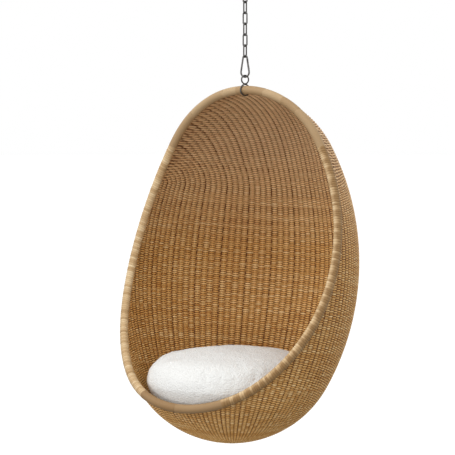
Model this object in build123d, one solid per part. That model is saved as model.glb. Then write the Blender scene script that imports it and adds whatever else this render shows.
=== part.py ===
from build123d import *
import os
from math import asin, atan2, cos, degrees, hypot, pi, radians, sin, sqrt, tan

# Hanging egg chair of woven rattan, on a steel chain from a ceiling plate.
# Millimetres. +Z is up, the opening faces -Y and X runs across the chair.
# The origin is the centre of the ceiling plate's top face, and everything hangs below it.

# ---- driving dimensions ----------------------------------------------------------------
# ceiling plate and swivel eye
PLATE_RADIUS = 48.0
PLATE_THICKNESS = 5.0
PLATE_CIRCLE_RADIUS = 34.0
PLATE_HOLE_RADIUS = 3.0
PLATE_HOLE_COUNT = 4
PLATE_HOLE_START = 45.0
PLATE_EDGE_RADIUS = 2.0
HUB_RADIUS = 18.0
HUB_DROP = 19.0
HUB_FLOOR = 5.0
RECESS_RADIUS = 14.0
STEM_RADIUS = 5.0
STEM_TOP = -3.0
RUNNING_GAP = 0.3
WASHER_RADIUS = 11.0
WASHER_THICKNESS = 2.0
NUT_FLATS = 16.0
NUT_HEIGHT = 7.0
EYE_WIRE = 8.0
EYE_RADIUS = 13.5
EYE_BOTTOM = -52.5

# chain
LINK_COUNT = 7
LINK_WIRE = 5.0
LINK_PITCH = 37.5
LINK_BOW = 7.8
CONTACT_GAP = 0.3

# snap hook: a pear-shaped wire loop with a sprung gate in its right side
HOOK_WIRE = 6.0
HOOK_TOP_BOW = 8.5
HOOK_FOOT_BOW = 17.0
HOOK_HEIGHT = 74.0
GATE_RADIUS = 3.3
GATE_PIVOT = 6.0
GATE_NOSE = 6.0
GATE_SLOT = 3.2
TONGUE_THICKNESS = 2.6
TONGUE_WIDTH = 5.2
FORK_REACH = 3.6
FORK_DEPTH = 4.6
TONGUE_TIP = 3.0
SHOULDER_REACH = 5.6
GATE_PIN_RADIUS = 1.1
GATE_PIN_ROOM = 0.05
GATE_PIN_INSET = 0.3
GATE_BORE_RADIUS = 1.7
GATE_SPRING_WIRE = 0.6
GATE_SPRING_TURNS = 12
GATE_SPRING_ROOM = 0.01
PLUNGER_LENGTH = 4.0
PLUNGER_RADIUS = 1.5
PLUNGER_RISE = 0.9

# hanger at the crown of the rim: an eye above a loop round the rim
HANGER_WIRE = 5.0
HANGER_EYE_RADIUS = 14.5
HANGER_LOOP_RADIUS = 19.0
HANGER_TURN = 70.0
EYE_ABOVE_RIM = 35.7

# egg: a body of revolution whose profile is three tangent arcs
EGG_RADIUS = 425.0
EGG_HEIGHT = 1221.0
EGG_FOOT_RADIUS = 375.0
EGG_CROWN_RADIUS = 350.0
EGG_LEAN = 6.2
SHELL_THICKNESS = 9.0

# rim: where the egg meets a wide cylinder that lies across the chair
RIM_CUT_RADIUS = 1400.0
RIM_CUT_Y = 55.0
RIM_CUT_Z = 515.0
RIM_MIDDLE_ANGLE = -20.0
RIM_SEARCH = 900.0
RIM_SEARCH_STEP = 1e-6
RIM_POLE_RADIUS = 10.0
BINDING_RADIUS = 14.5
BINDING_GAP = 0.2
RIM_CORNERS = 32
CROWN_REACH = 3
LIP_REACH = 1
CORNER_SHARE = 0.45

# base knot and cushion
BASE_RADIUS = 44.0
BASE_DROP = 5.0
CUSHION_RADIUS = 302.0
CUSHION_TOP = 94.0
CUSHION_SHOULDER = 66.0
CUSHION_SHOULDER_RADIUS = 228.0
CUSHION_CHEEK_DROP = 25.0
CUSHION_SEAT_RADIUS = 278.0
CUSHION_BOTTOM = 94.0
CUSHION_BELLY = 66.0
CUSHION_MIDDLE = -379.0
CUSHION_GAP = 2.0
COVER_THICKNESS = 2.0
FILLING_GAP = 0.3
ZIP_HALF_ANGLE = 50.0
ZIP_WIDTH = 8.0

# ---- heights that follow from the driving dimensions -------------------------------------
LINK_LENGTH = LINK_PITCH + LINK_WIRE + CONTACT_GAP
CHAIN_TOP = EYE_BOTTOM + (EYE_WIRE + LINK_WIRE) / 2 + CONTACT_GAP
CHAIN_FOOT = CHAIN_TOP - LINK_LENGTH - (LINK_COUNT - 1) * LINK_PITCH
HOOK_TOP = CHAIN_FOOT + (LINK_WIRE + HOOK_WIRE) / 2 + CONTACT_GAP
HOOK_FOOT = HOOK_TOP - HOOK_HEIGHT
HANGER_TOP = HOOK_FOOT + (HOOK_WIRE + HANGER_WIRE) / 2 + CONTACT_GAP
HANGER_EYE_Z = HANGER_TOP - HANGER_EYE_RADIUS
RIM_TOP = HANGER_EYE_Z - EYE_ABOVE_RIM

# egg profile, in the egg's own upright frame with its centre at the origin
FOOT_Z = -EGG_HEIGHT / 2 + EGG_FOOT_RADIUS
CROWN_Z = EGG_HEIGHT / 2 - EGG_CROWN_RADIUS


def side_arc():
    """Centre height and radius of the long side arc, tangent to the foot and crown arcs."""
    foot_slack = EGG_RADIUS - EGG_FOOT_RADIUS
    crown_slack = EGG_RADIUS - EGG_CROWN_RADIUS
    foot_term = FOOT_Z**2 + EGG_RADIUS**2 - EGG_FOOT_RADIUS**2
    crown_term = CROWN_Z**2 + EGG_RADIUS**2 - EGG_CROWN_RADIUS**2
    a = crown_slack - foot_slack
    b = 2 * (foot_slack * CROWN_Z - crown_slack * FOOT_Z)
    c = crown_slack * foot_term - foot_slack * crown_term
    centre = (-b + sqrt(b**2 - 4 * a * c)) / (2 * a)
    radius = ((centre - FOOT_Z) ** 2 + EGG_RADIUS**2 - EGG_FOOT_RADIUS**2) / (2 * foot_slack)
    return centre, radius


SIDE_Z, SIDE_RADIUS = side_arc()
SIDE_X = EGG_RADIUS - SIDE_RADIUS
FOOT_ANGLE = atan2(FOOT_Z - SIDE_Z, -SIDE_X)
CROWN_ANGLE = atan2(CROWN_Z - SIDE_Z, -SIDE_X)


def on_arc(centre_x, centre_z, radius, angle):
    """The point at an angle on an arc of the profile."""
    return (centre_x + radius * cos(angle), centre_z + radius * sin(angle))


def outside_egg(point):
    """How far a point of the leaning egg lies outside its surface, below zero inside."""
    upright = point.rotate(Axis.X, EGG_LEAN)
    reach = hypot(upright.X, upright.Y)
    angle = atan2(upright.Z - SIDE_Z, reach - SIDE_X)
    if angle < FOOT_ANGLE:
        return hypot(reach, upright.Z - FOOT_Z) - EGG_FOOT_RADIUS
    if angle > CROWN_ANGLE:
        return hypot(reach, upright.Z - CROWN_Z) - EGG_CROWN_RADIUS
    return hypot(reach - SIDE_X, upright.Z - SIDE_Z) - SIDE_RADIUS


def on_cut(across, along):
    """A point of the cutting cylinder, from distances across it and along its arc."""
    angle = radians(RIM_MIDDLE_ANGLE) + along / RIM_CUT_RADIUS
    y = RIM_CUT_Y - RIM_CUT_RADIUS * (1 - cos(angle))
    return Vector(across, y, RIM_CUT_Z + RIM_CUT_RADIUS * sin(angle))


def rim_point(angle, scale=1.0):
    """The rim's centre line at an angle round the opening, counted from +X towards the crown."""
    low, high = 0.0, RIM_SEARCH
    while high - low > RIM_SEARCH_STEP:
        reach = (low + high) / 2
        if outside_egg(on_cut(reach * cos(angle), reach * sin(angle))) < 0:
            low = reach
        else:
            high = reach
    return on_cut(scale * low * cos(angle), scale * low * sin(angle))


EGG_SHIFT = Vector(0, 0, RIM_TOP) - rim_point(pi / 2)
FOOT_CENTRE = Vector(0, 0, FOOT_Z).rotate(Axis.X, -EGG_LEAN) + EGG_SHIFT
CUSHION_Z = CUSHION_MIDDLE + EGG_SHIFT.Z


# ---- small helpers -----------------------------------------------------------------------
UPWARDS = (Align.CENTER, Align.CENTER, Align.MIN)


def disc(radius, top, bottom):
    """A round disc about Z between two heights."""
    return Pos(0, 0, bottom) * Cylinder(radius, top - bottom, align=UPWARDS)


def upright_ring(radius, wire, height, turn):
    """A wire ring that stands in a vertical plane, turned about Z from the XZ plane."""
    return Pos(0, 0, height) * Rot(Z=turn) * Rot(X=90) * Torus(radius, wire / 2)


def swept(edges, radius, bore=0.0):
    """A round bar or tube along tangent edges."""
    path = Wire(edges)
    section = Circle(radius)
    if bore:
        section -= Circle(bore)
    start = Plane(origin=path @ 0, z_dir=path % 0)
    return sweep(sections=start * section, path=path)


def revolved(edges):
    """A solid of revolution about Z from edges drawn in the XZ plane."""
    return revolve(Plane.XZ * make_face(edges), Axis.Z)


# ---- ceiling plate and swivel ------------------------------------------------------------
def ceiling_plate():
    """Screwed flange with a hub that carries the swivel eye's nut in a recess."""
    plate = disc(PLATE_RADIUS, 0, -PLATE_THICKNESS) + disc(HUB_RADIUS, 0, -HUB_DROP)
    plate -= disc(RECESS_RADIUS, 0, -HUB_DROP + HUB_FLOOR)
    plate -= disc(STEM_RADIUS + RUNNING_GAP, 0, -HUB_DROP)
    hole = disc(PLATE_HOLE_RADIUS, 0, -PLATE_THICKNESS)
    for place in PolarLocations(PLATE_CIRCLE_RADIUS, PLATE_HOLE_COUNT, start_angle=PLATE_HOLE_START):
        plate -= place * hole
    circles = plate.edges().filter_by(GeomType.CIRCLE)
    outer = circles.filter_by_position(Axis.Z, -PLATE_THICKNESS, -PLATE_THICKNESS).sort_by(SortBy.RADIUS)[-1]
    return fillet(outer, PLATE_EDGE_RADIUS)


def thrust_washer():
    """Washer on the hub's floor, under the nut."""
    floor = -HUB_DROP + HUB_FLOOR
    return disc(WASHER_RADIUS, floor + WASHER_THICKNESS, floor) - disc(STEM_RADIUS + RUNNING_GAP, 0, floor)


def swivel_eye():
    """Stem and closed ring, forged in one piece, with a collar below the hub."""
    ring = upright_ring(EYE_RADIUS, EYE_WIRE, EYE_BOTTOM + EYE_RADIUS, 0)
    stem = disc(STEM_RADIUS, STEM_TOP, EYE_BOTTOM + 2 * EYE_RADIUS)
    return ring + stem


def swivel_nut():
    """Hexagon nut that holds the stem up in the hub's recess."""
    bottom = -HUB_DROP + HUB_FLOOR + WASHER_THICKNESS + RUNNING_GAP
    blank = extrude(RegularPolygon(NUT_FLATS / 2, 6, major_radius=False), NUT_HEIGHT)
    return Pos(0, 0, bottom) * blank - disc(STEM_RADIUS, 0, bottom)


# ---- chain ------------------------------------------------------------------------------
def chain_link(index):
    """Long link that hangs at its place in the chain, turned a quarter from its neighbours."""
    top = CHAIN_TOP - index * LINK_PITCH - LINK_BOW
    bottom = CHAIN_TOP - index * LINK_PITCH - LINK_LENGTH + LINK_BOW
    bow = Rot(X=90) * Torus(LINK_BOW, LINK_WIRE / 2)
    keep = Box(4 * LINK_BOW, LINK_BOW, 2 * LINK_BOW, align=UPWARDS)
    side = disc(LINK_WIRE / 2, top, bottom)
    link = Pos(0, 0, top) * (bow & keep) + Pos(0, 0, bottom) * (bow & Rot(X=180) * keep)
    link += Pos(-LINK_BOW, 0, 0) * side + Pos(LINK_BOW, 0, 0) * side
    return Rot(Z=90 * ((index + 1) % 2)) * link


# ---- snap hook --------------------------------------------------------------------------
HOOK_SLOPE = asin((HOOK_FOOT_BOW - HOOK_TOP_BOW) / (HOOK_HEIGHT - HOOK_TOP_BOW - HOOK_FOOT_BOW))
HOOK_SIDE_LENGTH = (HOOK_HEIGHT - HOOK_TOP_BOW - HOOK_FOOT_BOW) * cos(HOOK_SLOPE)
HOOK_SIDE_FOOT_X = HOOK_FOOT_BOW * cos(HOOK_SLOPE)
HOOK_SIDE_FOOT_Z = HOOK_FOOT + HOOK_FOOT_BOW * (1 + sin(HOOK_SLOPE))
# the right side's own frame: origin where it leaves the lower bow, Z up along the wire
HOOK_SIDE = Pos(HOOK_SIDE_FOOT_X, 0, HOOK_SIDE_FOOT_Z) * Rot(Y=-degrees(HOOK_SLOPE))


def hook_bow(radius, height, low, high):
    """Part of a bow of the snap hook, between two angles in its plane."""
    middle = (low + high) / 2
    points = [Vector(radius * cos(a), 0, height + radius * sin(a)) for a in (low, middle, high)]
    return ThreePointArc(*points)


def side_point(along):
    """A point on the centre line of the snap hook's right side."""
    return (HOOK_SIDE * Pos(0, 0, along)).position


def snap_hook_body():
    """Bent wire from the gate's pivot round both bows to its nose, with a flat tongue at each end."""
    foot = hook_bow(HOOK_FOOT_BOW, HOOK_FOOT + HOOK_FOOT_BOW, HOOK_SLOPE, -pi - HOOK_SLOPE)
    top = hook_bow(HOOK_TOP_BOW, HOOK_TOP - HOOK_TOP_BOW, pi - HOOK_SLOPE, HOOK_SLOPE)
    stub = GATE_PIVOT - SHOULDER_REACH
    nose = HOOK_SIDE_LENGTH - GATE_NOSE + SHOULDER_REACH
    start = Line(side_point(stub), foot @ 0)
    end = Line(top @ 1, side_point(nose))
    body = swept([start, foot, Line(foot @ 1, top @ 0), top, end], HOOK_WIRE / 2)
    tongue_length = SHOULDER_REACH + TONGUE_TIP
    tongue = Box(TONGUE_WIDTH, TONGUE_THICKNESS, tongue_length, align=UPWARDS)
    body += HOOK_SIDE * Pos(0, 0, stub) * tongue
    body += HOOK_SIDE * Pos(0, 0, nose - tongue_length) * tongue
    pin_hole = Rot(X=90) * Cylinder(GATE_PIN_RADIUS + GATE_PIN_ROOM, HOOK_WIRE)
    return body - HOOK_SIDE * Pos(0, 0, GATE_PIVOT) * pin_hole


def gate_blank():
    """The gate's round bar, slotted at both ends for the hook's tongues."""
    foot = GATE_PIVOT - FORK_REACH
    head = HOOK_SIDE_LENGTH - GATE_NOSE + FORK_REACH
    bar = disc(GATE_RADIUS, head, foot)
    slot_size = 4 * GATE_RADIUS
    foot_slot = Pos(0, 0, (foot + GATE_PIVOT + FORK_DEPTH) / 2)
    head_slot = Pos(0, 0, (head + HOOK_SIDE_LENGTH - GATE_NOSE - FORK_DEPTH) / 2)
    cutter = Box(slot_size, GATE_SLOT, FORK_REACH + FORK_DEPTH)
    return bar - foot_slot * cutter - head_slot * cutter


def snap_hook_gate():
    """Gate with its pin holes and the bore for the plunger and spring."""
    gate = gate_blank()
    gate -= Pos(0, 0, GATE_PIVOT) * Rot(X=90) * Cylinder(GATE_PIN_RADIUS, 4 * GATE_RADIUS)
    bore_foot = GATE_PIVOT + FORK_DEPTH
    gate -= disc(GATE_BORE_RADIUS, bore_foot + gate_bore_depth(), bore_foot)
    return HOOK_SIDE * gate


def gate_bore_depth():
    """Depth of the gate's bore: the plunger, the spring and a little room."""
    return PLUNGER_LENGTH + GATE_SPRING_TURNS * GATE_SPRING_WIRE + RUNNING_GAP


def gate_plunger():
    """Round plunger that faces the flat end of the lower tongue, clear of it as the gate turns."""
    foot = GATE_PIVOT + TONGUE_TIP + PLUNGER_RISE
    return HOOK_SIDE * disc(PLUNGER_RADIUS, GATE_PIVOT + FORK_DEPTH + PLUNGER_LENGTH, foot)


def gate_spring():
    """Close-wound spring behind the plunger, drawn as its stacked turns."""
    half_wire = GATE_SPRING_WIRE / 2
    foot = GATE_PIVOT + FORK_DEPTH + PLUNGER_LENGTH + half_wire
    coil = Torus(PLUNGER_RADIUS - half_wire, half_wire - GATE_SPRING_ROOM)
    turns = [Pos(0, 0, foot + turn * GATE_SPRING_WIRE) * coil for turn in range(GATE_SPRING_TURNS)]
    return HOOK_SIDE * Compound(children=turns)


def gate_pin():
    """Rivet through the gate's fork and the hook's lower tongue."""
    length = 2 * (GATE_RADIUS - GATE_PIN_INSET)
    return HOOK_SIDE * Pos(0, 0, GATE_PIVOT) * Rot(X=90) * Cylinder(GATE_PIN_RADIUS, length)


# ---- hanger -----------------------------------------------------------------------------
def hanger():
    """Figure-of-eight wire: an eye for the snap hook, welded to a loop round the rim."""
    eye = upright_ring(HANGER_EYE_RADIUS, HANGER_WIRE, HANGER_EYE_Z, HANGER_TURN)
    return eye + upright_ring(HANGER_LOOP_RADIUS, HANGER_WIRE, RIM_TOP, HANGER_TURN)


# ---- rim --------------------------------------------------------------------------------
def rim_corners():
    """Corners of the polygon that the rim's centre line rounds, clockwise from the crown."""
    scale = 1 / cos(pi / RIM_CORNERS)
    step = 2 * pi / RIM_CORNERS
    return [rim_point(pi / 2 - i * step, scale) + EGG_SHIFT for i in range(RIM_CORNERS)]


def rounded_loop(corners):
    """Tangent arcs and short straight runs round a closed polygon, one pair for each corner."""
    arcs = []
    for i, corner in enumerate(corners):
        back = corners[i - 1] - corner
        ahead = corners[(i + 1) % len(corners)] - corner
        reach = CORNER_SHARE * min(back.length, ahead.length)
        half_turn = radians(180 - back.get_angle(ahead)) / 2
        radius = reach / tan(half_turn)
        to_back, to_ahead = back.normalized(), ahead.normalized()
        inward = (to_back + to_ahead).normalized()
        middle = corner + inward * radius * (1 / cos(half_turn) - 1)
        arcs.append(ThreePointArc(corner + to_back * reach, middle, corner + to_ahead * reach))
    edges = []
    for i, arc in enumerate(arcs):
        edges += [arc, Line(arc @ 1, arcs[(i + 1) % len(arcs)] @ 0)]
    return edges


def rim_stretches(edges):
    """The rim's edges, split into the crown, right, lip and left stretches."""
    half = RIM_CORNERS // 2
    ring = edges + edges
    bounds = {
        "crown": (RIM_CORNERS - CROWN_REACH, RIM_CORNERS + CROWN_REACH + 1),
        "right": (CROWN_REACH + 1, half - LIP_REACH),
        "lip": (half - LIP_REACH, half + LIP_REACH + 1),
        "left": (half + LIP_REACH + 1, RIM_CORNERS - CROWN_REACH),
    }
    return {name: ring[2 * first : 2 * last] for name, (first, last) in bounds.items()}


def rim_poles(edges):
    """The bent pole inside the bindings, in two halves that meet at the crown and the lip."""
    middle = len(edges) // 2
    return swept(edges[:middle], RIM_POLE_RADIUS), swept(edges[middle:], RIM_POLE_RADIUS)


# ---- woven shell -------------------------------------------------------------------------
def egg_side(inset):
    """The egg's profile edges from foot to crown, moved inwards by an inset."""
    spans = [
        (0, FOOT_Z, EGG_FOOT_RADIUS - inset, -pi / 2, FOOT_ANGLE),
        (SIDE_X, SIDE_Z, SIDE_RADIUS - inset, FOOT_ANGLE, CROWN_ANGLE),
        (0, CROWN_Z, EGG_CROWN_RADIUS - inset, CROWN_ANGLE, pi / 2),
    ]
    arcs = []
    for x, z, radius, low, high in spans:
        arcs.append(ThreePointArc(*[on_arc(x, z, radius, a) for a in (low, (low + high) / 2, high)]))
    return arcs


def full_egg():
    """The closed hollow egg, leaning, at its place below the hook."""
    outer = egg_side(0)
    inner = egg_side(SHELL_THICKNESS)
    edges = outer + inner + [Line(outer[0] @ 0, inner[0] @ 0), Line(outer[-1] @ 1, inner[-1] @ 1)]
    return Pos(*EGG_SHIFT) * Rot(X=-EGG_LEAN) * revolved(edges)


def woven_shell(stretches):
    """The egg, cut open along the rim and let into the rim's bindings."""
    centre = Vector(0, RIM_CUT_Y - RIM_CUT_RADIUS, RIM_CUT_Z) + EGG_SHIFT
    shell = full_egg() - Pos(*centre) * Rot(Y=90) * Cylinder(RIM_CUT_RADIUS, 3 * EGG_RADIUS)
    for edges in stretches.values():
        shell -= swept(edges, BINDING_RADIUS)
    return shell - upright_ring(HANGER_LOOP_RADIUS, HANGER_WIRE + 2 * RUNNING_GAP, RIM_TOP, HANGER_TURN)


def base_knot():
    """Bound knot of cane under the foot, where the stakes meet."""
    rise = EGG_FOOT_RADIUS + BASE_DROP - sqrt(EGG_FOOT_RADIUS**2 - BASE_RADIUS**2)
    radius = (BASE_RADIUS**2 + rise**2) / (2 * rise)
    knot = Pos(0, 0, radius - EGG_FOOT_RADIUS - BASE_DROP) * Sphere(radius)
    return Pos(*FOOT_CENTRE) * (knot - Sphere(EGG_FOOT_RADIUS))


# ---- cushion -----------------------------------------------------------------------------
def cushion_solid(inset):
    """Round crowned cushion whose underside follows the egg's foot, made smaller by an inset."""
    middle = CUSHION_Z - FOOT_CENTRE.Z
    radius = CUSHION_RADIUS - inset
    seat_radius = EGG_FOOT_RADIUS - SHELL_THICKNESS - CUSHION_GAP - inset
    top = middle + CUSHION_TOP - inset
    shoulder = Vector(CUSHION_SHOULDER_RADIUS, middle + CUSHION_SHOULDER - inset)
    cheek_foot = Vector(radius, middle - CUSHION_CHEEK_DROP)
    seat_reach = CUSHION_SEAT_RADIUS - inset
    seat_top = Vector(seat_reach, -sqrt(seat_radius**2 - seat_reach**2))
    floor = middle - CUSHION_BOTTOM + inset
    seat_foot = Vector(sqrt(seat_radius**2 - floor**2), floor)
    seat_angle = (seat_top.get_signed_angle(Vector(1, 0)) + seat_foot.get_signed_angle(Vector(1, 0))) / 2
    seat_middle = Vector(*on_arc(0, 0, seat_radius, radians(-abs(seat_angle))))
    crown = TangentArc(Vector(0, top), shoulder, tangent=(1, 0))
    cheek = TangentArc(shoulder, cheek_foot, tangent=crown % 1)
    seat = ThreePointArc(seat_top, seat_middle, seat_foot)
    belly = TangentArc(Vector(0, middle - CUSHION_BELLY + inset), seat_foot, tangent=(1, 0))
    edges = [crown, cheek, Line(cheek_foot, seat_top), seat, belly, Line(belly @ 0, crown @ 0)]
    return Pos(*FOOT_CENTRE) * revolved(edges)


def zip_band(inner, outer, width):
    """A band round the back of the cushion's cheek."""
    place = Pos((inner + outer) / 2, 0, CUSHION_Z - CUSHION_CHEEK_DROP)
    profile = place * Rot(X=90) * Rectangle(outer - inner, width)
    band = revolve(profile, Axis.Z, 2 * ZIP_HALF_ANGLE)
    return Pos(0, FOOT_CENTRE.Y, 0) * Rot(Z=90 - ZIP_HALF_ANGLE) * band


def cushion_parts():
    """Cover, filling and the zip let into the back of the cover."""
    outer = CUSHION_RADIUS
    zip_tape = zip_band(outer - COVER_THICKNESS, outer, ZIP_WIDTH)
    cover = cushion_solid(0) - cushion_solid(COVER_THICKNESS)
    cover -= zip_band(outer - 2 * COVER_THICKNESS, outer + COVER_THICKNESS, ZIP_WIDTH)
    filling = cushion_solid(COVER_THICKNESS + FILLING_GAP)
    return cover, filling, zip_tape


# ---- write every piece -------------------------------------------------------------------
def build():
    """All the pieces, by name."""
    pieces = {
        "ceiling_plate": ceiling_plate(),
        "thrust_washer": thrust_washer(),
        "swivel_eye": swivel_eye(),
        "swivel_nut": swivel_nut(),
    }
    for index in range(LINK_COUNT):
        pieces[f"chain_link_{index + 1}"] = chain_link(index)
    pieces["snap_hook_body"] = snap_hook_body()
    pieces["snap_hook_gate"] = snap_hook_gate()
    pieces["gate_pin"] = gate_pin()
    pieces["gate_plunger"] = gate_plunger()
    pieces["gate_spring"] = gate_spring()
    pieces["hanger"] = hanger()
    edges = rounded_loop(rim_corners())
    stretches = rim_stretches(edges)
    pieces["rim_pole_right"], pieces["rim_pole_left"] = rim_poles(edges)
    for name, stretch in stretches.items():
        pieces[f"rim_binding_{name}"] = swept(stretch, BINDING_RADIUS, RIM_POLE_RADIUS + BINDING_GAP)
    pieces["woven_shell"] = woven_shell(stretches)
    pieces["base_knot"] = base_knot()
    pieces["cushion_cover"], pieces["cushion_filling"], pieces["cushion_zip"] = cushion_parts()
    return pieces


os.makedirs("parts", exist_ok=True)
for name, piece in build().items():
    export_step(piece, f"parts/{name}.step")
    box = piece.bounding_box()
    print(f"{name:20s} {piece.volume / 1000:10.2f} cm3  z {box.min.Z:8.1f} to {box.max.Z:8.1f}")
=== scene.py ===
from math import atan2, cos, hypot, pi, radians, sin

import bmesh
import bpy
import numpy as np
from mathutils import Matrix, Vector, noise


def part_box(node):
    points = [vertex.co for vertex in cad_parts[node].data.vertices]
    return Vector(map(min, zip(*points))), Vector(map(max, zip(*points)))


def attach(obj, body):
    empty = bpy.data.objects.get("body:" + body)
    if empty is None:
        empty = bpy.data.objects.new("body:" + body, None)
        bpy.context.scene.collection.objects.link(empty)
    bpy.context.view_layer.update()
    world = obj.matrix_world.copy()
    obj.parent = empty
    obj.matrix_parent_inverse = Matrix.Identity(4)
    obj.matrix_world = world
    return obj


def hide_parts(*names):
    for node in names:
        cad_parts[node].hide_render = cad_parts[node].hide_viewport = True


# Looks of the hanging egg chair, in metres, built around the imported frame.
# The egg is a body of revolution that leans back; its profile is three tangent arcs.

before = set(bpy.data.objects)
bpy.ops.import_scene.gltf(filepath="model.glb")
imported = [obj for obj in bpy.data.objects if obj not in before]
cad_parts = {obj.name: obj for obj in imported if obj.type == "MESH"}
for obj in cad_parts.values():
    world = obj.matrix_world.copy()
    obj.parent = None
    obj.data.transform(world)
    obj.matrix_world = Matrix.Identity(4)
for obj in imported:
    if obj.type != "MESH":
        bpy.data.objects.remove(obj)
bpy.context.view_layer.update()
rng = np.random.default_rng(7)

# ---- driving dimensions, the same as the frame's ----------------------------------------
EGG_HALF = 0.6105
EGG_RADIUS = 0.425
FOOT_RADIUS = 0.375
CROWN_RADIUS = 0.350
SIDE_RADIUS = 0.89019
SIDE_X = EGG_RADIUS - SIDE_RADIUS
SIDE_Z = -0.0141
FOOT_Z = FOOT_RADIUS - EGG_HALF
CROWN_Z = EGG_HALF - CROWN_RADIUS
LEAN = radians(6.2)
SHELL_THICKNESS = 0.009
CUT_RADIUS = 1.4
CUT_Y = 0.055
CUT_Z = 0.515
CUT_MIDDLE = radians(-20)
BINDING_RADIUS = 0.0145
BASE_DROP = 0.005

knot_low, knot_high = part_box("base_knot")
FOOT_CENTRE = np.array([0.0, (knot_low.y + knot_high.y) / 2, knot_low.z + BASE_DROP + FOOT_RADIUS])
EGG_CENTRE = FOOT_CENTRE - FOOT_Z * np.array([0.0, sin(LEAN), cos(LEAN)])

# ---- weave -------------------------------------------------------------------------------
STAKES = 112
ROW_PITCH = 0.0041
STRAND_HALF_HEIGHT = 0.0029
STRAND_HALF_THICKNESS = 0.0016
WEAVE_AMPLITUDE = 0.0031
STEPS_PER_CELL = 4
STRAND_SIDES = 6
STAKE_HALF_WIDTH = 0.0042
STAKE_HALF_THICKNESS = 0.0011
PANELS = 10
FAN_HEIGHT = 0.29
FAN_RADIUS = 0.372
FAN_BELOW = 0.04
FAN_ABOVE = 0.09
MERGE_RADII = (0.12, 0.06, 0.035)
ROW_SAG = 0.0002
LOWEST_ROW = 0.038
HIGHEST_ROW_GAP = 0.02
TRIM = 0.0005
MAX_ROW_STEP = 0.012
STAKE_START = 0.035
STAKE_STEP = 0.011
CORE_START = 0.02
CORE_STEP = 0.008
CORE_TRIM = 0.002
PIECE_LENGTH = 11.0
TONE_ROWS = 512
TONE_CELLS = 128
TONE_PIECES = 12


def meridian(arc):
    """Radius, height and slope angle of the egg's profile at arc lengths up from the lowest pole."""
    low_angle = np.arctan2(FOOT_Z - SIDE_Z, -SIDE_X)
    high_angle = np.arctan2(CROWN_Z - SIDE_Z, -SIDE_X)
    foot_length = FOOT_RADIUS * (low_angle + pi / 2)
    side_length = SIDE_RADIUS * (high_angle - low_angle)
    on_foot = -pi / 2 + arc / FOOT_RADIUS
    on_side = low_angle + (arc - foot_length) / SIDE_RADIUS
    on_crown = high_angle + (arc - foot_length - side_length) / CROWN_RADIUS
    first = arc < foot_length
    last = arc > foot_length + side_length
    angle = np.where(first, on_foot, np.where(last, on_crown, on_side))
    size = np.where(first, FOOT_RADIUS, np.where(last, CROWN_RADIUS, SIDE_RADIUS))
    radius = np.where(first | last, 0.0, SIDE_X) + size * np.cos(angle)
    height = np.where(first, FOOT_Z, np.where(last, CROWN_Z, SIDE_Z)) + size * np.sin(angle)
    return radius, height, angle


def meridian_length():
    """Length of the profile's foot arc, and of the whole profile."""
    low_angle = atan2(FOOT_Z - SIDE_Z, -SIDE_X)
    high_angle = atan2(CROWN_Z - SIDE_Z, -SIDE_X)
    foot = FOOT_RADIUS * (low_angle + pi / 2)
    side = SIDE_RADIUS * (high_angle - low_angle)
    return foot, foot + side + CROWN_RADIUS * (pi / 2 - high_angle)


FOOT_ARC, WHOLE_ARC = meridian_length()


def on_egg(arc, turn, depth=SHELL_THICKNESS / 2):
    """Points and normals of the shell, a depth under its outer face, at arc lengths and turns."""
    radius, height, angle = meridian(arc)
    radius = radius - depth * np.cos(angle)
    height = height - depth * np.sin(angle)
    share = np.clip(arc / FOOT_ARC, 0, 1)
    lean = LEAN * share * share * (3 - 2 * share)
    local = np.stack(np.broadcast_arrays(radius * np.cos(turn), radius * np.sin(turn), height - FOOT_Z), -1)
    flat = np.cos(angle)
    face = np.stack(np.broadcast_arrays(flat * np.cos(turn), flat * np.sin(turn), np.sin(angle)), -1)
    return tilted(local, lean) + FOOT_CENTRE, tilted(face, lean)


def tilted(v, lean):
    """Vectors leant back about X."""
    c, s = np.cos(lean), np.sin(lean)
    return np.stack([v[..., 0], v[..., 1] * c + v[..., 2] * s, v[..., 2] * c - v[..., 1] * s], -1)


def past_cut(points):
    """How far points are behind the cylinder that cuts the opening."""
    y = points[..., 1] - EGG_CENTRE[1] - CUT_Y + CUT_RADIUS
    z = points[..., 2] - EGG_CENTRE[2] - CUT_Z
    return np.hypot(y, z) - CUT_RADIUS


def spread(height):
    """0 where stakes are meridians, 1 where they run in planes across the chair."""
    return np.interp(height, [FAN_HEIGHT - FAN_BELOW, FAN_HEIGHT + FAN_ABOVE], [0.0, 1.0])


def stake_angle(turn, radius, height):
    """The stake coordinate, an angle at the widest row, of points at a turn about the axis."""
    ratio = np.clip(radius / FAN_RADIUS, 1e-4, 1) ** spread(height)
    back = np.arccos(np.clip(np.cos(turn) * ratio, -1, 1))
    ends = np.arccos(np.clip(ratio, -1, 1))
    wrapped = (turn + pi / 2) % (2 * pi) - pi / 2
    right = wrapped + ends
    left = wrapped - ends
    return np.where(wrapped < 0, right, np.where(wrapped > pi, left, back))


def stake_turn(stake, radius, height):
    """The turn about the axis at which a stake crosses a row, or nothing where it has ended."""
    ratio = 1 / np.clip(radius / FAN_RADIUS, 1e-4, 1) ** spread(height)
    if stake < 0 or stake > pi:
        return np.where(height < FAN_HEIGHT, stake, np.nan)
    level = np.cos(stake) * ratio
    return np.where(np.abs(level) < 1, np.arccos(np.clip(level, -1, 1)), np.nan)


def thinning(radius, height):
    """How many stakes have merged into one near the foot."""
    ridges = np.select([radius > limit for limit in MERGE_RADII], [1, 2, 4], 8)
    return np.where(height > 0, 1, ridges)


def unit(v):
    """Vectors scaled to length one."""
    return v / np.maximum(np.linalg.norm(v, axis=-1, keepdims=True), 1e-12)


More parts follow.
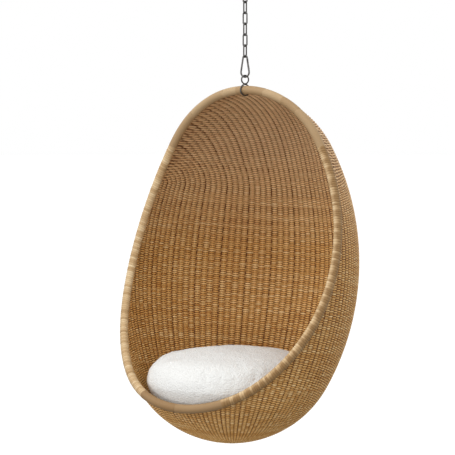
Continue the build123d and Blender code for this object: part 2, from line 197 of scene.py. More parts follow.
class Skins:
    """Gathers tubes of one section into a single mesh with a colour attribute."""

    def __init__(self):
        self.points, self.faces, self.shades = [], [], []
        self.count = 0

    def tube(self, path, normals, half_width, half_height, shades, closed=False, sides=STRAND_SIDES):
        """A tube of oval section: half_width across its path, half_height along the normals."""
        along = np.roll(path, -1, 0) - np.roll(path, 1, 0) if closed else np.gradient(path, axis=0)
        along = unit(along)
        across = unit(np.cross(along, normals))
        out = np.cross(across, along)
        spin = (np.arange(sides) + 0.5) * 2 * pi / sides
        half_width = np.broadcast_to(half_width, len(path))[:, None, None]
        half_height = np.broadcast_to(half_height, len(path))[:, None, None]
        ring = (path[:, None] + across[:, None] * np.cos(spin)[None, :, None] * half_width
                + out[:, None] * np.sin(spin)[None, :, None] * half_height)
        n = len(path)
        rows = np.arange(n if closed else n - 1)
        nxt = (rows + 1) % n
        side = np.arange(sides)
        a = rows[:, None] * sides + side
        b = rows[:, None] * sides + (side + 1) % sides
        c = nxt[:, None] * sides + (side + 1) % sides
        d = nxt[:, None] * sides + side
        quads = np.stack([a, b, c, d], -1).reshape(-1, 4)
        self.faces.append(quads + self.count)
        self.points.append(ring.reshape(-1, 3))
        self.shades.append(np.repeat(shades, sides, axis=0))
        self.count += n * sides

    def build(self, name):
        """The gathered tubes as one mesh object."""
        return mesh_object(name, *(np.concatenate(part) for part in (self.points, self.faces, self.shades)))


def mesh_object(name, points, quads, shades):
    """A smooth mesh object from point and quad arrays, with a colour attribute named shade."""
    mesh = bpy.data.meshes.new(name)
    mesh.vertices.add(len(points))
    mesh.vertices.foreach_set("co", points.astype(np.float32).ravel())
    mesh.loops.add(quads.size)
    mesh.loops.foreach_set("vertex_index", quads.astype(np.int32).ravel())
    mesh.polygons.add(len(quads))
    mesh.polygons.foreach_set("loop_start", np.arange(0, quads.size, 4, dtype=np.int32))
    mesh.polygons.foreach_set("loop_total", np.full(len(quads), 4, np.int32))
    mesh.update(calc_edges=True)
    mesh.polygons.foreach_set("use_smooth", np.ones(len(quads), bool))
    layer = mesh.color_attributes.new("shade", "FLOAT_COLOR", "POINT")
    layer.data.foreach_set("color", shades.astype(np.float32).ravel())
    obj = bpy.data.objects.new(name, mesh)
    bpy.context.scene.collection.objects.link(obj)
    return obj


def row_samples(arc):
    """Turns about the axis at which one row is sampled, and whether the row closes on itself."""
    radius, height, _ = (float(v) for v in meridian(np.array(arc)))
    turns = np.linspace(-pi / 2, 1.5 * pi, 2401)
    inside = past_cut(on_egg(np.array(arc), turns)[0]) > TRIM
    closed = inside.all()
    if not inside.any():
        return None
    turns = turns if closed else turns[inside]
    if len(turns) < 6:
        return None
    stakes = stake_angle(turns, radius, height) * STAKES / (2 * pi) / thinning(radius, height)
    by_cell = np.abs(np.diff(stakes)) * STEPS_PER_CELL
    by_length = np.abs(np.diff(turns)) * radius / MAX_ROW_STEP
    steps = np.maximum(by_cell, by_length)
    total = np.concatenate([[0], np.cumsum(steps)])
    count = max(int(round(total[-1])), 8)
    marks = np.linspace(0, total[-1], count + 1)
    if closed:
        marks = marks[:-1]
    return np.interp(marks, total, turns), closed


def squared(wave, power=0.72):
    """A wave with fuller crests, as a strand has where it lies flat over a stake."""
    return np.sign(wave) * np.abs(wave) ** power


CELL_TONES = rng.random((TONE_ROWS, TONE_CELLS))
ROW_TONES = rng.random(TONE_ROWS)
PIECE_TONES = rng.random((TONE_ROWS, TONE_PIECES))
rng.random(TONE_CELLS)  # keeps the draws for the rim in step


def strand_shades(row, stakes, wave):
    """Red: tone of the cane. Green: how far the strand stands out. Blue: which gap it dives into."""
    row = row % TONE_ROWS
    cell = np.floor(stakes + 0.5).astype(int) % TONE_CELLS
    piece = np.floor(stakes / PIECE_LENGTH + ROW_TONES[row] * 3).astype(int) % TONE_PIECES
    tone = 0.13 + 0.24 * CELL_TONES[row, cell] + 0.28 * PIECE_TONES[row, piece] + 0.22 * ROW_TONES[row]
    gap = np.floor(stakes).astype(int) % 4 == 1
    ones = np.ones(len(stakes))
    return np.stack([tone, np.abs(wave), np.where(gap, 1.0, 0.0), ones], -1)


def weave_rows():
    """The horizontal strands, row by row from the foot to the crown, gathered in panels."""
    rows = int((WHOLE_ARC - HIGHEST_ROW_GAP) / ROW_PITCH)
    first = int(LOWEST_ROW / ROW_PITCH)
    panels = [Skins() for _ in range(PANELS)]
    lengths = []
    for row in range(first, rows):
        arc = row * ROW_PITCH + ROW_SAG * sin(row * 2.3)
        found = row_samples(arc)
        if found is None:
            continue
        lengths.append((row, arc, found))
    total = sum(len(f[0]) for _, _, f in lengths)
    share, done = total / PANELS, 0
    for row, arc, (turns, closed) in lengths:
        radius, height, _ = (float(v) for v in meridian(np.array(arc)))
        stakes = stake_angle(turns, radius, height) * STAKES / (2 * pi) / float(thinning(radius, height))
        wave = np.cos(pi * (stakes + row))
        wobble = 0.0012 * np.sin(turns * 5 + row * 0.11) + 0.0006 * np.sin(turns * 17 + row * 0.23)
        path, normals = on_egg(arc + wobble, turns)
        path = path + normals * (WEAVE_AMPLITUDE * squared(wave))[:, None]
        skins = panels[min(int(done / share), PANELS - 1)]
        width = STRAND_HALF_HEIGHT * (0.95 + 0.1 * CELL_TONES[(row * 7) % TONE_ROWS, 3])
        shades = strand_shades(row, stakes, wave)
        skins.tube(path, normals, width, STRAND_HALF_THICKNESS, shades, closed)
        done += len(turns)
    return [skins.build(f"weave_rows_{i + 1}") for i, skins in enumerate(panels) if skins.count]


def weave_stakes():
    """The upright canes that the rows are woven round."""
    skins = Skins()
    arcs = np.arange(STAKE_START, WHOLE_ARC, STAKE_STEP)
    radius, height, _ = meridian(arcs)
    merged = thinning(radius, height)
    for number in range(STAKES):
        stake = -pi / 2 + number * 2 * pi / STAKES
        turns = stake_turn(stake, radius, height)
        here = ~np.isnan(turns) & (number % merged == 0)
        points, normals = on_egg(arcs, np.nan_to_num(turns))
        here &= past_cut(points) > 0.0
        index = np.flatnonzero(here)
        if len(index) < 4:
            continue
        # painted shade: a green of 0.35 makes cane_material darken the stakes, as shade behind the rows
        shades = np.tile([0.3 + 0.5 * CELL_TONES[number, 5], 0.35, 0.0, 1.0], (len(index), 1))
        skins.tube(points[index], normals[index], STAKE_HALF_WIDTH, STAKE_HALF_THICKNESS, shades)
    return skins.build("weave_stakes")


def weave_core():
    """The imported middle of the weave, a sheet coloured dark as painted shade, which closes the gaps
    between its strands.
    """
    arcs = np.arange(CORE_START, WHOLE_ARC, CORE_STEP)
    turns = np.arange(-pi / 2, 1.5 * pi, pi / 180)
    points, _ = on_egg(arcs[:, None], turns[None, :])
    keep = past_cut(points) > CORE_TRIM
    n, m = keep.shape
    index = np.arange(n * m).reshape(n, m)
    nxt = np.roll(index, -1, 1)
    quads = np.stack([index[:-1], nxt[:-1], nxt[1:], index[1:]], -1).reshape(-1, 4)
    quads = quads[keep.ravel()[quads].all(1)]
    used, quads = np.unique(quads, return_inverse=True)
    # painted shade: a green of 0.2 makes cane_material colour the whole sheet dark, as the shade seen
    # between the strands
    shades = np.tile([0.25, 0.2, 0.0, 1.0], (len(used), 1))
    return mesh_object("weave_core", points.reshape(-1, 3)[used], quads.reshape(-1, 4), shades)


# ---- rim ---------------------------------------------------------------------------------
RIM_SAMPLES = 2880
RIM_PROBE = 0.004
SIDE_WRAP = 0.0076
SIDE_GROOVE = 0.0016
SMOOTH_WRAP = 0.012
SMOOTH_GROOVE = 0.0010
SMOOTH_STEP = 0.006
SMOOTH_SIDES = 36
SEAM_SAMPLES = (-0.0016, -0.0009, -0.0004, 0, 0.0004, 0.0009, 0.0016)
CROWN_END = 39.4
LIP_HALF = 16.9
OVERLAP = 0.002


def outside_egg(points):
    """Positive outside the egg, for points measured from its centre."""
    c, s = cos(LEAN), sin(LEAN)
    y = points[..., 1] * c - points[..., 2] * s
    z = points[..., 1] * s + points[..., 2] * c
    reach = np.hypot(points[..., 0], y)
    foot = np.sqrt(np.maximum(FOOT_RADIUS**2 - (z - FOOT_Z) ** 2, 0))
    side = SIDE_X + np.sqrt(np.maximum(SIDE_RADIUS**2 - (z - SIDE_Z) ** 2, 0))
    crown = np.sqrt(np.maximum(CROWN_RADIUS**2 - (z - CROWN_Z) ** 2, 0))
    foot_join = FOOT_Z - FOOT_RADIUS * (SIDE_Z - FOOT_Z) / hypot(SIDE_X, SIDE_Z - FOOT_Z)
    crown_join = CROWN_Z + CROWN_RADIUS * (CROWN_Z - SIDE_Z) / hypot(SIDE_X, CROWN_Z - SIDE_Z)
    return reach - np.where(z < foot_join, foot, np.where(z > crown_join, crown, side))


def on_cut(across, along):
    """Points of the cutting cylinder, measured from the egg's centre."""
    angle = CUT_MIDDLE + along / CUT_RADIUS
    y = CUT_Y - CUT_RADIUS * (1 - np.cos(angle))
    z = CUT_Z + CUT_RADIUS * np.sin(angle)
    return np.stack([across, y, z], -1)


def rim_line():
    """The rim's centre line, evenly spaced, from the middle of the crown round by -X and back."""
    angles = pi / 2 + np.linspace(0, 2 * pi, RIM_SAMPLES + 1)
    low, high = np.zeros_like(angles), np.full_like(angles, 0.9)
    for _ in range(40):
        reach = (low + high) / 2
        inside = outside_egg(on_cut(reach * np.cos(angles), reach * np.sin(angles))) < 0
        low, high = np.where(inside, reach, low), np.where(inside, high, reach)
    points = on_cut(low * np.cos(angles), low * np.sin(angles)) + EGG_CENTRE
    arc = np.concatenate([[0], np.cumsum(np.linalg.norm(np.diff(points, axis=0), axis=1))])
    return points, arc, angles


RIM_POINTS, RIM_ARC, RIM_ANGLES = rim_line()
RIM_LENGTH = RIM_ARC[-1]


def rim_point(arc):
    """Points of the rim's centre line at arc lengths from the crown."""
    arc = arc % RIM_LENGTH
    return np.stack([np.interp(arc, RIM_ARC, RIM_POINTS[:, i]) for i in range(3)], -1)


def on_rim(arc):
    """Points, tangents and inward normals of the rim at arc lengths from the crown."""
    arc = arc % RIM_LENGTH
    points = rim_point(arc)
    along = unit(rim_point(arc + RIM_PROBE) - rim_point(arc - RIM_PROBE))
    centre = RIM_POINTS[:-1].mean(0)
    inward = centre - points
    inward = unit(inward - along * (inward * along).sum(-1, keepdims=True))
    return points, along, inward


def rim_arc_at(degrees_):
    """Arc length at an angle round the opening, counted from the crown towards -X."""
    return float(np.interp(radians(degrees_) + pi / 2, RIM_ANGLES, RIM_ARC))


def binding(name, start, stop, seams, tones, groove, slant, fine=0.0012, sides=26, outer=0.0):
    """A wrapped stretch of rim: turns of cane between seams, each crowned and of its own tone."""
    seams = np.asarray(seams)
    near = np.concatenate([seams + k for k in SEAM_SAMPLES])
    near = near[(near > start) & (near < stop)]
    grid = np.concatenate([np.arange(start, stop, fine), near, [stop]])
    arcs = np.unique(np.round(grid, 6))
    points, along, inward = on_rim(arcs)
    side = np.cross(along, inward)
    spin = np.arange(sides) * 2 * pi / sides
    reach = arcs[:, None] + slant * (spin[None, :] / (2 * pi) - 0.5)
    turn = np.searchsorted(seams, reach.ravel()).reshape(reach.shape)
    edges = np.concatenate([[start - 0.05], seams, [stop + 0.05]])
    low, high = edges[turn], edges[np.minimum(turn + 1, len(edges) - 1)]
    half = (high - low) / 2
    off = np.minimum(reach - low, high - reach)
    crown = np.clip(off / np.minimum(half, 0.0038), 0, 1)
    tones = np.resize(tones, len(edges) + 2)
    level = groove * (1 - crown) ** 2.2 + 0.0005 * tones[turn]
    radius = BINDING_RADIUS + 0.0004 - level
    place = points[:, None] + radius[..., None] * (
        inward[:, None] * np.cos(spin)[None, :, None] + side[:, None] * np.sin(spin)[None, :, None])
    n = len(arcs)
    a = np.arange(n - 1)[:, None] * sides + np.arange(sides)
    b = np.arange(n - 1)[:, None] * sides + (np.arange(sides) + 1) % sides
    quads = np.stack([a, a + sides, b + sides, b], -1).reshape(-1, 4)
    # painted shade on the outer side of the tube and painted light on its inner side, scaled by outer
    painted_side_shading = outer * (np.clip(0.35 - np.cos(spin), 0, 1) - 0.25)[None, :]
    flat, full = np.zeros_like(crown), np.ones_like(crown)
    # painted shade: green falls towards each seam, so cane_material darkens the grooves between turns
    shades = np.stack([tones[turn] - painted_side_shading, crown**0.5, flat, full], -1)
    return mesh_object(name, place.reshape(-1, 3), quads, shades.reshape(-1, 4))


def rim():
    """The rim's four bindings: smooth canes at the crown and the lip, ridged wraps down both sides."""
    crown_end = rim_arc_at(CROWN_END)
    lip_start = rim_arc_at(180 - LIP_HALF)
    lip_end = rim_arc_at(180 + LIP_HALF)
    left = np.arange(crown_end, lip_start, SIDE_WRAP)
    left = left + rng.normal(0, 0.0005, len(left))
    right = np.cumsum(rng.uniform(0.0058, 0.0098, 400)) + lip_end
    right = right[right < RIM_LENGTH - crown_end]
    crown_marks = np.array([-0.235, -0.165, -0.085, 0.028, 0.085, 0.16, 0.24])
    crown_tones = np.array([0.45, 0.3, 0.75, 0.4, 0.85, 0.55, 0.65, 0.4])
    left_tones = 0.5 + 0.25 * rng.standard_normal(len(left) + 2)
    bands = np.repeat(np.tile([0.02, 0.55], 100), rng.integers(1, 4, 200))
    right_tones = bands[:len(right) + 2] + 0.08 * rng.standard_normal(len(right) + 2)
    right_end = RIM_LENGTH - crown_end
    crown_seams = RIM_LENGTH + crown_marks
    lip_seam = [(lip_start + lip_end) / 2 - 0.01]
    smooth = {"groove": SMOOTH_GROOVE, "slant": SMOOTH_WRAP, "fine": SMOOTH_STEP, "sides": SMOOTH_SIDES}
    side = {"groove": SIDE_GROOVE, "slant": SIDE_WRAP}
    pieces = [
        binding("rim_wrap_left", crown_end - OVERLAP, lip_start + OVERLAP, left, left_tones, **side),
        # the right binding gets painted shade on its outer side and painted light on its inner side
        binding("rim_wrap_right", lip_end - OVERLAP, right_end + OVERLAP, right, right_tones,
                outer=1.0, **side),
        binding("rim_wrap_crown", right_end, RIM_LENGTH + crown_end, crown_seams, crown_tones, **smooth),
        binding("rim_wrap_lip", lip_start, lip_end, lip_seam, [-0.25, 0.05], **smooth),
    ]
    for piece, node in zip(pieces, ("left", "right", "crown", "lip")):
        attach(piece, "chair")
        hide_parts(f"rim_binding_{node}")
    return pieces


# ---- base knot ---------------------------------------------------------------------------
def base_coil():
    """Flat spiral of cane over the crossing of the stakes under the foot."""
    skins = Skins()
    reach = 0.041
    pitch = 0.0056
    turns = np.arange(0.6, reach / pitch, 1 / 26)
    radius = turns * pitch
    spin = turns * 2 * pi
    edge = FOOT_RADIUS - np.sqrt(FOOT_RADIUS**2 - (reach + 0.003) ** 2)
    floor = FOOT_CENTRE[2] - FOOT_RADIUS - BASE_DROP
    drop = floor + 0.0032 + (edge + BASE_DROP - 0.001) * (radius / (reach + 0.003)) ** 2
    path = np.stack([radius * np.cos(spin), FOOT_CENTRE[1] + radius * np.sin(spin), drop], -1)
    normals = np.tile([0.0, 0.0, -1.0], (len(path), 1))
    tone = 0.35 + 0.4 * CELL_TONES[(turns * 3).astype(int) % TONE_ROWS, 9]
    shades = np.stack([tone, np.full(len(path), 0.9), np.zeros(len(path)), np.ones(len(path))], -1)
    skins.tube(path, normals, 0.0029, 0.0024, shades, sides=8)
    for number in range(8):
        angle = number * pi / 8
        line = np.linspace(-0.036, 0.036, 25)
        depth = floor + 0.0012 + 0.006 * (line / 0.036) ** 2
        wave = 0.0012 * np.cos(line / pitch * pi + number * pi)
        path = np.stack([line * cos(angle), FOOT_CENTRE[1] + line * sin(angle), depth + 0.0022 + wave], -1)
        shades = np.tile([0.5, 0.6, 0.0, 1.0], (len(line), 1))
        skins.tube(path, np.tile([0.0, 0.0, -1.0], (len(line), 1)), 0.0022, 0.0012, shades)
    coil = skins.build("base_coil")
    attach(coil, "chair")
    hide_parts("base_knot")
    return coil


# ---- cushion -----------------------------------------------------------------------------
CUSHION_VOXEL = 0.0062
CUSHION_CAP = 0.008


def cushion():
    """Round seat cushion: the filling's shape swollen as cloth, then given soft folds and a looped nap."""
    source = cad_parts["cushion_filling"]
    pad = bpy.data.objects.new("seat_cushion", source.data.copy())
    bpy.context.scene.collection.objects.link(pad)
    pad.data.materials.clear()
    remesh(pad)
    swell(pad)
    shape_cushion(pad)
    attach(pad, "cushion")
    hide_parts("cushion_cover", "cushion_filling", "cushion_zip")
    return pad


def remesh(obj):
    """Even voxels in place of the CAD triangles."""
    step = obj.modifiers.new("remesh", "REMESH")
    step.mode = "VOXEL"
    step.voxel_size = CUSHION_VOXEL
    apply_modifiers(obj)


def apply_modifiers(obj):
    """Replaces an object's mesh by its evaluated mesh, so that no modifier is left on it."""
    graph = bpy.context.evaluated_depsgraph_get()
    final = obj.evaluated_get(graph)
    mesh = bpy.data.meshes.new_from_object(final, preserve_all_data_layers=True, depsgraph=graph)
    obj.modifiers.clear()
    obj.data = mesh


def vertices_of(obj):
    co = np.zeros(len(obj.data.vertices) * 3, np.float32)
    obj.data.vertices.foreach_get("co", co)
    return co.reshape(-1, 3).astype(float)


def set_vertices(obj, points):
    obj.data.vertices.foreach_set("co", points.astype(np.float32).ravel())
    obj.data.update()


def swell(obj):
    """Twenty frames of pressurised cloth, with each point's travel capped."""
    before = vertices_of(obj)
    cloth = obj.modifiers.new("cloth", "CLOTH")
    cloth.settings.quality = 4
    cloth.settings.mass = 0.3
    cloth.settings.tension_stiffness = 8
    cloth.settings.compression_stiffness = 8
    cloth.settings.bending_stiffness = 0.6
    cloth.settings.use_pressure = True
    cloth.settings.uniform_pressure_force = 4
    cloth.settings.effector_weights.gravity = 0
    cloth.collision_settings.use_collision = False
    scene = bpy.context.scene
    for number in range(1, 21):
        scene.frame_set(number)
    apply_modifiers(obj)
    scene.frame_set(1)
    after = vertices_of(obj)
    move = after - before
    size = np.linalg.norm(move, axis=1, keepdims=True)
    set_vertices(obj, before + move * np.minimum(1, CUSHION_CAP / np.maximum(size, 1e-9)))


def shape_cushion(obj):
    """One subdivision, then soft noise folds and the uneven surface of a looped pile."""
    step = obj.modifiers.new("finer", "SUBSURF")
    step.levels = 1
    step.render_levels = 1
    apply_modifiers(obj)
    points = vertices_of(obj)
    normals = np.zeros(len(points) * 3, np.float32)
    obj.data.vertex_normals.foreach_get("vector", normals)
    normals = normals.reshape(-1, 3).astype(float)
    offset = np.array([pile_height(p) for p in points])
    low = points[:, 2].min()
    upper = np.clip((points[:, 2] - low - 0.09) / 0.03, 0, 1)
    set_vertices(obj, points + normals * (offset * upper)[:, None])
    obj.data.polygons.foreach_set("use_smooth", np.ones(len(obj.data.polygons), bool))
    obj.data.update()


def pile_height(p):
    """Height of the cushion's folds and nap at a point."""
    x, y, z = p[0], p[1] - FOOT_CENTRE[1], p[2]
    place = Vector((x, y, z))
    nap = noise.noise(place * 130) * 0.0011 + noise.noise(place * 260) * 0.0008
    soft = noise.noise(place * 9 + Vector((3, 7, 1))) * 0.0040 + noise.noise(place * 24) * 0.0016
    return nap + soft - 0.0012


# ---- materials ---------------------------------------------------------------------------
def srgb(red, green, blue):
    """Linear colour from 8-bit sRGB."""
    values = [c / 255 for c in (red, green, blue)]
    return [c / 12.92 if c <= 0.04045 else ((c + 0.055) / 1.055) ** 2.4 for c in values] + [1.0]


class Nodes:
    """A material's node tree, built a node at a time."""

    def __init__(self, name):
        self.material = bpy.data.materials.new(name)
        self.material.use_nodes = True
        self.tree = self.material.node_tree
        self.shader = self.tree.nodes["Principled BSDF"]

    def add(self, kind, **settings):
        node = self.tree.nodes.new(kind)
        for key, value in settings.items():
            setattr(node, key, value)
        return node

    def link(self, source, target):
        self.tree.links.new(source, target)

    def noise(self, scale, detail=3.0, rough=0.6, stretch=None):
        texture = self.add("ShaderNodeTexNoise")
        texture.inputs["Scale"].default_value = scale
        texture.inputs["Detail"].default_value = detail
        texture.inputs["Roughness"].default_value = rough
        coords = self.add("ShaderNodeTexCoord")
        if stretch:
            mapping = self.add("ShaderNodeMapping")
            mapping.inputs["Scale"].default_value = stretch
            self.link(coords.outputs["Object"], mapping.inputs["Vector"])
            self.link(mapping.outputs["Vector"], texture.inputs["Vector"])
        else:
            self.link(coords.outputs["Object"], texture.inputs["Vector"])
        return texture.outputs["Fac"]

    def math(self, operation, first, second=0.0, clamp=False):
        node = self.add("ShaderNodeMath", operation=operation, use_clamp=clamp)
        for socket, value in zip(node.inputs, (first, second)):
            if isinstance(value, (int, float)):
                socket.default_value = value
            else:
                self.link(value, socket)
        return node.outputs[0]

    def ramp(self, factor, stops):
        node = self.add("ShaderNodeValToRGB")
        ramp = node.color_ramp
        while len(ramp.elements) < len(stops):
            ramp.elements.new(0.5)
        for element, (place, colour) in zip(ramp.elements, stops):
            element.position = place
            element.color = colour
        self.link(factor, node.inputs["Fac"])
        return node.outputs["Color"]

    def mix(self, factor, first, second):
        """A mix of two colours."""
        node = self.add("ShaderNodeMix", data_type="RGBA")
        sockets = (node.inputs["Factor"], node.inputs[6], node.inputs[7])
        for socket, value in zip(sockets, (factor, first, second)):
            if isinstance(value, (int, float, list, tuple)):
                socket.default_value = value
            else:
                self.link(value, socket)
        return node.outputs[2]

    def bump(self, height, strength, distance):
        node = self.add("ShaderNodeBump")
        node.inputs["Strength"].default_value = strength
        node.inputs["Distance"].default_value = distance
        self.link(height, node.inputs["Height"])
        self.link(node.outputs["Normal"], self.shader.inputs["Normal"])

    def height_range(self, low, high, most):
        """Rises from 0 at one height to a share at another."""
        coords = self.add("ShaderNodeTexCoord")
        split = self.add("ShaderNodeSeparateXYZ")
        ramp = self.add("ShaderNodeMapRange")
        for socket, value in zip(("From Min", "From Max", "To Min", "To Max"), (low, high, 0.0, most)):
            ramp.inputs[socket].default_value = value
        self.link(coords.outputs["Object"], split.inputs["Vector"])
        self.link(split.outputs["Z"], ramp.inputs["Value"])
        return ramp.outputs["Result"]

    def shade(self):
        attribute = self.add("ShaderNodeAttribute", attribute_name="shade")
        split = self.add("ShaderNodeSeparateColor")
        self.link(attribute.outputs["Color"], split.inputs["Color"])
        return split.outputs


def cane_material(name, stops, painted_hollow_shade, hollow_shade_strength, roughness, variety, painted_light=0.0):
    """Cane: a tone per strand, grain along it, and painted shade where the strand dives; the last argument
    adds painted highlights on the crests and a painted paler top.
    """
    nodes = Nodes(name)
    tone, out, gap = nodes.shade()[:3]
    grain = nodes.noise(900, 4, 0.7)
    cloud = nodes.noise(7, 3)
    mixed = nodes.math("ADD", nodes.math("MULTIPLY", tone, variety), nodes.math("MULTIPLY", grain, 0.22))
    mixed = nodes.math("ADD", mixed, 0.35 - variety / 2)
    mixed = nodes.math("ADD", mixed, nodes.math("MULTIPLY", cloud, 0.24))
    if painted_light:
        # painted highlight: the colour is lightened on the crests where the strand stands out most
        top = nodes.math("MULTIPLY", nodes.math("SUBTRACT", out, 0.8), 5.0, True)
        mixed = nodes.math("ADD", mixed, nodes.math("MULTIPLY", top, painted_light))
    colour = nodes.ramp(mixed, stops)
    if painted_light:
        # painted light: the weave is mixed towards a pale colour from above the middle up to the crown
        colour = nodes.mix(nodes.height_range(-1.0, -0.62, 0.6), colour, srgb(228, 196, 158))
    # painted shade: the colour is mixed towards a dark brown where the strand lies low, more in every fourth
    # gap
    painted_hollow_mask = nodes.math("MULTIPLY", nodes.math("SUBTRACT", 0.58, out), 2.6, True)
    painted_hollow_mask = nodes.math("MULTIPLY", painted_hollow_mask, nodes.math("ADD", hollow_shade_strength, nodes.math("MULTIPLY", gap, 0.25)), True)
    nodes.link(nodes.mix(painted_hollow_mask, colour, painted_hollow_shade), nodes.shader.inputs["Base Color"])
    rough = nodes.math("ADD", roughness, nodes.math("MULTIPLY", grain, 0.2))
    nodes.link(rough, nodes.shader.inputs["Roughness"])
    nodes.shader.inputs["Specular IOR Level"].default_value = 0.35
    nodes.bump(grain, 0.35, 0.0006)
    return nodes.material


def weave_material():
    """Warm brown cane of the strands and stakes."""
    stops = [(0.2, srgb(158, 98, 40)), (0.45, srgb(201, 147, 77)),
             (0.62, srgb(217, 168, 99)), (0.85, srgb(238, 203, 145))]
    # 0.12 gives painted highlights on the crests and the painted paler top
    return cane_material("woven_cane", stops, srgb(98, 54, 18), 0.76, 0.48, 0.7, painted_light=0.12)


def wrap_material():
    stops = [(0.2, srgb(148, 114, 70)), (0.5, srgb(192, 160, 116)), (0.85, srgb(220, 196, 156))]
    return cane_material("wrapped_cane", stops, srgb(104, 74, 40), 0.5, 0.42, 0.45)


def smooth_material():
    stops = [(0.2, srgb(140, 108, 68)), (0.5, srgb(162, 132, 94)), (0.85, srgb(188, 162, 124))]
    return cane_material("smooth_cane", stops, srgb(104, 74, 40), 0.5, 0.42, 0.45)


def fabric_material():
    """Off-white looped wool fabric."""
    nodes = Nodes("looped_wool")
    voronoi = nodes.add("ShaderNodeTexVoronoi")
    voronoi.inputs["Scale"].default_value = 190
    coords = nodes.add("ShaderNodeTexCoord")
    nodes.link(coords.outputs["Object"], voronoi.inputs["Vector"])
    cell = voronoi.outputs["Distance"]
    fine = nodes.noise(700, 4, 0.7)
    height = nodes.math("ADD", nodes.math("MULTIPLY", cell, -1.0), nodes.math("MULTIPLY", fine, 0.5))
    # partly painted shade: the tint follows the loop cells, so the low edges between loops are a little
    # darker; the noise adds random tone
    tint = nodes.math("ADD", nodes.math("MULTIPLY", cell, 0.6), nodes.math("MULTIPLY", nodes.noise(12), 0.3))
    stops = [(0.1, srgb(234, 235, 233)), (0.6, srgb(226, 226, 223)), (1.0, srgb(200, 198, 194))]
    colour = nodes.ramp(tint, stops)
    nodes.link(colour, nodes.shader.inputs["Base Color"])
    nodes.shader.inputs["Roughness"].default_value = 0.95
    nodes.shader.inputs["Sheen Weight"].default_value = 0.35
    nodes.shader.inputs["Sheen Roughness"].default_value = 0.6
    nodes.shader.inputs["Specular IOR Level"].default_value = 0.15
    nodes.bump(height, 0.8, 0.003)
    return nodes.material


def steel_material(name, base, dark, roughness, metallic=1.0):
    """Zinc-dulled steel with tarnish in broad clouds and fine scratches."""
    nodes = Nodes(name)
    cloud = nodes.noise(90, 5, 0.65)
    scratch = nodes.noise(260, 3, 0.5, (1, 1, 0.08))
    tint = nodes.math("ADD", nodes.math("MULTIPLY", cloud, 0.7), nodes.math("MULTIPLY", scratch, 0.3))
    colour = nodes.ramp(tint, [(0.3, dark), (0.6, base)])
    nodes.link(colour, nodes.shader.inputs["Base Color"])
    rough = nodes.math("ADD", roughness, nodes.math("MULTIPLY", cloud, 0.25))
    nodes.link(rough, nodes.shader.inputs["Roughness"])
    nodes.shader.inputs["Metallic"].default_value = metallic
    nodes.bump(scratch, 0.12, 0.0004)
    return nodes.material


def paint(obj, material):
    """Puts one material in every slot of an object."""
    if not obj.data.materials:
        obj.data.materials.append(material)
    for index in range(len(obj.data.materials)):
        obj.data.materials[index] = material


def paint_hardware():
    """Better materials for the frame's own nodes."""
    forged = steel_material("forged_steel", srgb(120, 118, 114), srgb(74, 72, 70), 0.34)
    chain = steel_material("chain_steel", srgb(112, 110, 108), srgb(60, 58, 56), 0.30)
    hook = steel_material("hook_steel", srgb(128, 126, 124), srgb(70, 68, 66), 0.26)
    plate = steel_material("plate_steel", srgb(140, 138, 134), srgb(96, 94, 90), 0.36)
    stops = [(0.2, srgb(170, 130, 80)), (0.8, srgb(210, 175, 125))]
    pole = cane_material("rim_pole", stops, srgb(110, 75, 40), 0.1, 0.5, 0.3)
    for name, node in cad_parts.items():
        if name.startswith("chain_link") or name == "hanger":
            paint(node, chain)
        elif name.startswith(("snap_hook", "gate")):
            paint(node, hook)
        elif name.startswith("swivel"):
            paint(node, forged)
        elif name in ("ceiling_plate", "thrust_washer"):
            paint(node, plate)
        elif name.startswith("rim_pole"):
            paint(node, pole)


# ---- studio ------------------------------------------------------------------------------
CAMERA_AZIMUTH = radians(35.5)
CAMERA_ELEVATION = radians(5)
CAMERA_DISTANCE = 6.0
FLOOR_Z = -2.05
UNDER_LIGHT = 0.3
FLOOR_RADIUS = 60
LENS = 137.2
SENSOR = 36
SHIFT_RIGHT = -0.0304
SHIFT_UP = 0.1336


def camera():
    """Portrait camera at the front right, a little above the middle of the egg."""
    data = bpy.data.cameras.new("camera")
    data.lens = LENS
    data.sensor_width = SENSOR
    obj = bpy.data.objects.new("camera", data)
    bpy.context.scene.collection.objects.link(obj)
    middle = Vector(EGG_CENTRE)
    level = cos(CAMERA_ELEVATION)
    away = Vector((sin(CAMERA_AZIMUTH) * level, -cos(CAMERA_AZIMUTH) * level, sin(CAMERA_ELEVATION)))
    right = Vector((cos(CAMERA_AZIMUTH), sin(CAMERA_AZIMUTH), 0))
    upward = away.cross(right)
    target = middle + right * SHIFT_RIGHT + upward * SHIFT_UP
    obj.location = middle + away * CAMERA_DISTANCE
    obj.rotation_euler = (target - obj.location).to_track_quat("-Z", "Y").to_euler()
    bpy.context.scene.camera = obj


def area_light(name, place, target, size, power, colour=(1, 1, 1)):
    """A round soft light at a place, turned to a target."""
    data = bpy.data.lights.new(name, "AREA")
    data.shape = "DISK"
    data.size = size
    data.energy = power
    data.color = colour
    obj = bpy.data.objects.new(name, data)
    bpy.context.scene.collection.objects.link(obj)
    obj.location = place
    obj.rotation_euler = (Vector(target) - Vector(place)).to_track_quat("-Z", "Y").to_euler()


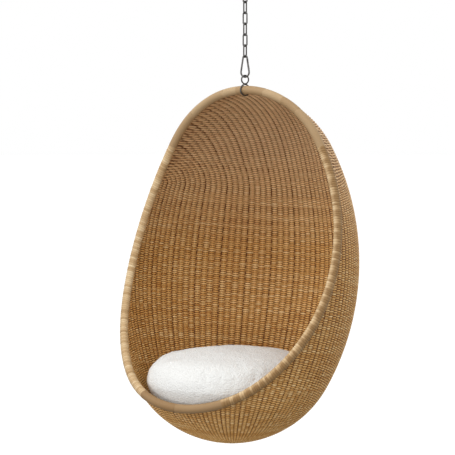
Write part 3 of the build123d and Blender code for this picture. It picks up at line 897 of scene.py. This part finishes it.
def studio():
    """White world, a wide pale floor and soft lights from the front left and above."""
    world = bpy.data.worlds.new("studio")
    world.use_nodes = True
    tree = world.node_tree
    background = tree.nodes["Background"]
    background.inputs["Color"].default_value = (1, 1, 1, 1)
    direction = tree.nodes.new("ShaderNodeTexCoord")
    split = tree.nodes.new("ShaderNodeSeparateXYZ")
    dimmer = tree.nodes.new("ShaderNodeMapRange")
    for socket, value in zip(("From Min", "From Max", "To Min", "To Max"), (-0.45, -0.02, UNDER_LIGHT, 1.0)):
        dimmer.inputs[socket].default_value = value
    tree.links.new(direction.outputs["Generated"], split.inputs["Vector"])
    tree.links.new(split.outputs["Z"], dimmer.inputs["Value"])
    tree.links.new(dimmer.outputs["Result"], background.inputs["Strength"])
    bpy.context.scene.world = world
    mesh = bpy.data.meshes.new("floor")
    build = bmesh.new()
    bmesh.ops.create_circle(build, cap_ends=True, radius=FLOOR_RADIUS, segments=96)
    build.to_mesh(mesh)
    build.free()
    floor = bpy.data.objects.new("floor", mesh)
    floor.location.z = FLOOR_Z
    bpy.context.scene.collection.objects.link(floor)
    nodes = Nodes("floor")
    nodes.shader.inputs["Base Color"].default_value = (0.9, 0.9, 0.9, 1)
    nodes.shader.inputs["Roughness"].default_value = 0.9
    nodes.shader.inputs["Emission Color"].default_value = (1, 1, 1, 1)
    nodes.shader.inputs["Emission Strength"].default_value = 0.2
    floor.data.materials.append(nodes.material)
    floor.visible_diffuse = False
    floor.visible_glossy = False
    middle = EGG_CENTRE
    area_light("key", (-2.4, -3.0, 1.6), middle, 2.4, 38)
    area_light("top", (0.2, -1.6, 2.4), middle, 1.6, 28)
    area_light("low", (0.2, -3.2, -1.5), middle + np.array([0, 0.1, 0.5]), 1.2, 15, (1.0, 0.96, 0.96))
    scene = bpy.context.scene
    scene.view_settings.view_transform = "Standard"
    scene.view_settings.look = "None"


# ---- assembly ----------------------------------------------------------------------------
camera()
studio()
paint_hardware()

woven = weave_material()
panels = weave_rows() + [weave_stakes(), weave_core()]
for panel in panels:
    paint(panel, woven)
    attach(panel, "chair")
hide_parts("woven_shell")
paint(base_coil(), woven)

wrapped, smooth = wrap_material(), smooth_material()
for wrap in rim():
    ridged = wrap.name in ("rim_wrap_left", "rim_wrap_right")
    paint(wrap, wrapped if ridged else smooth)

paint(cushion(), fabric_material())
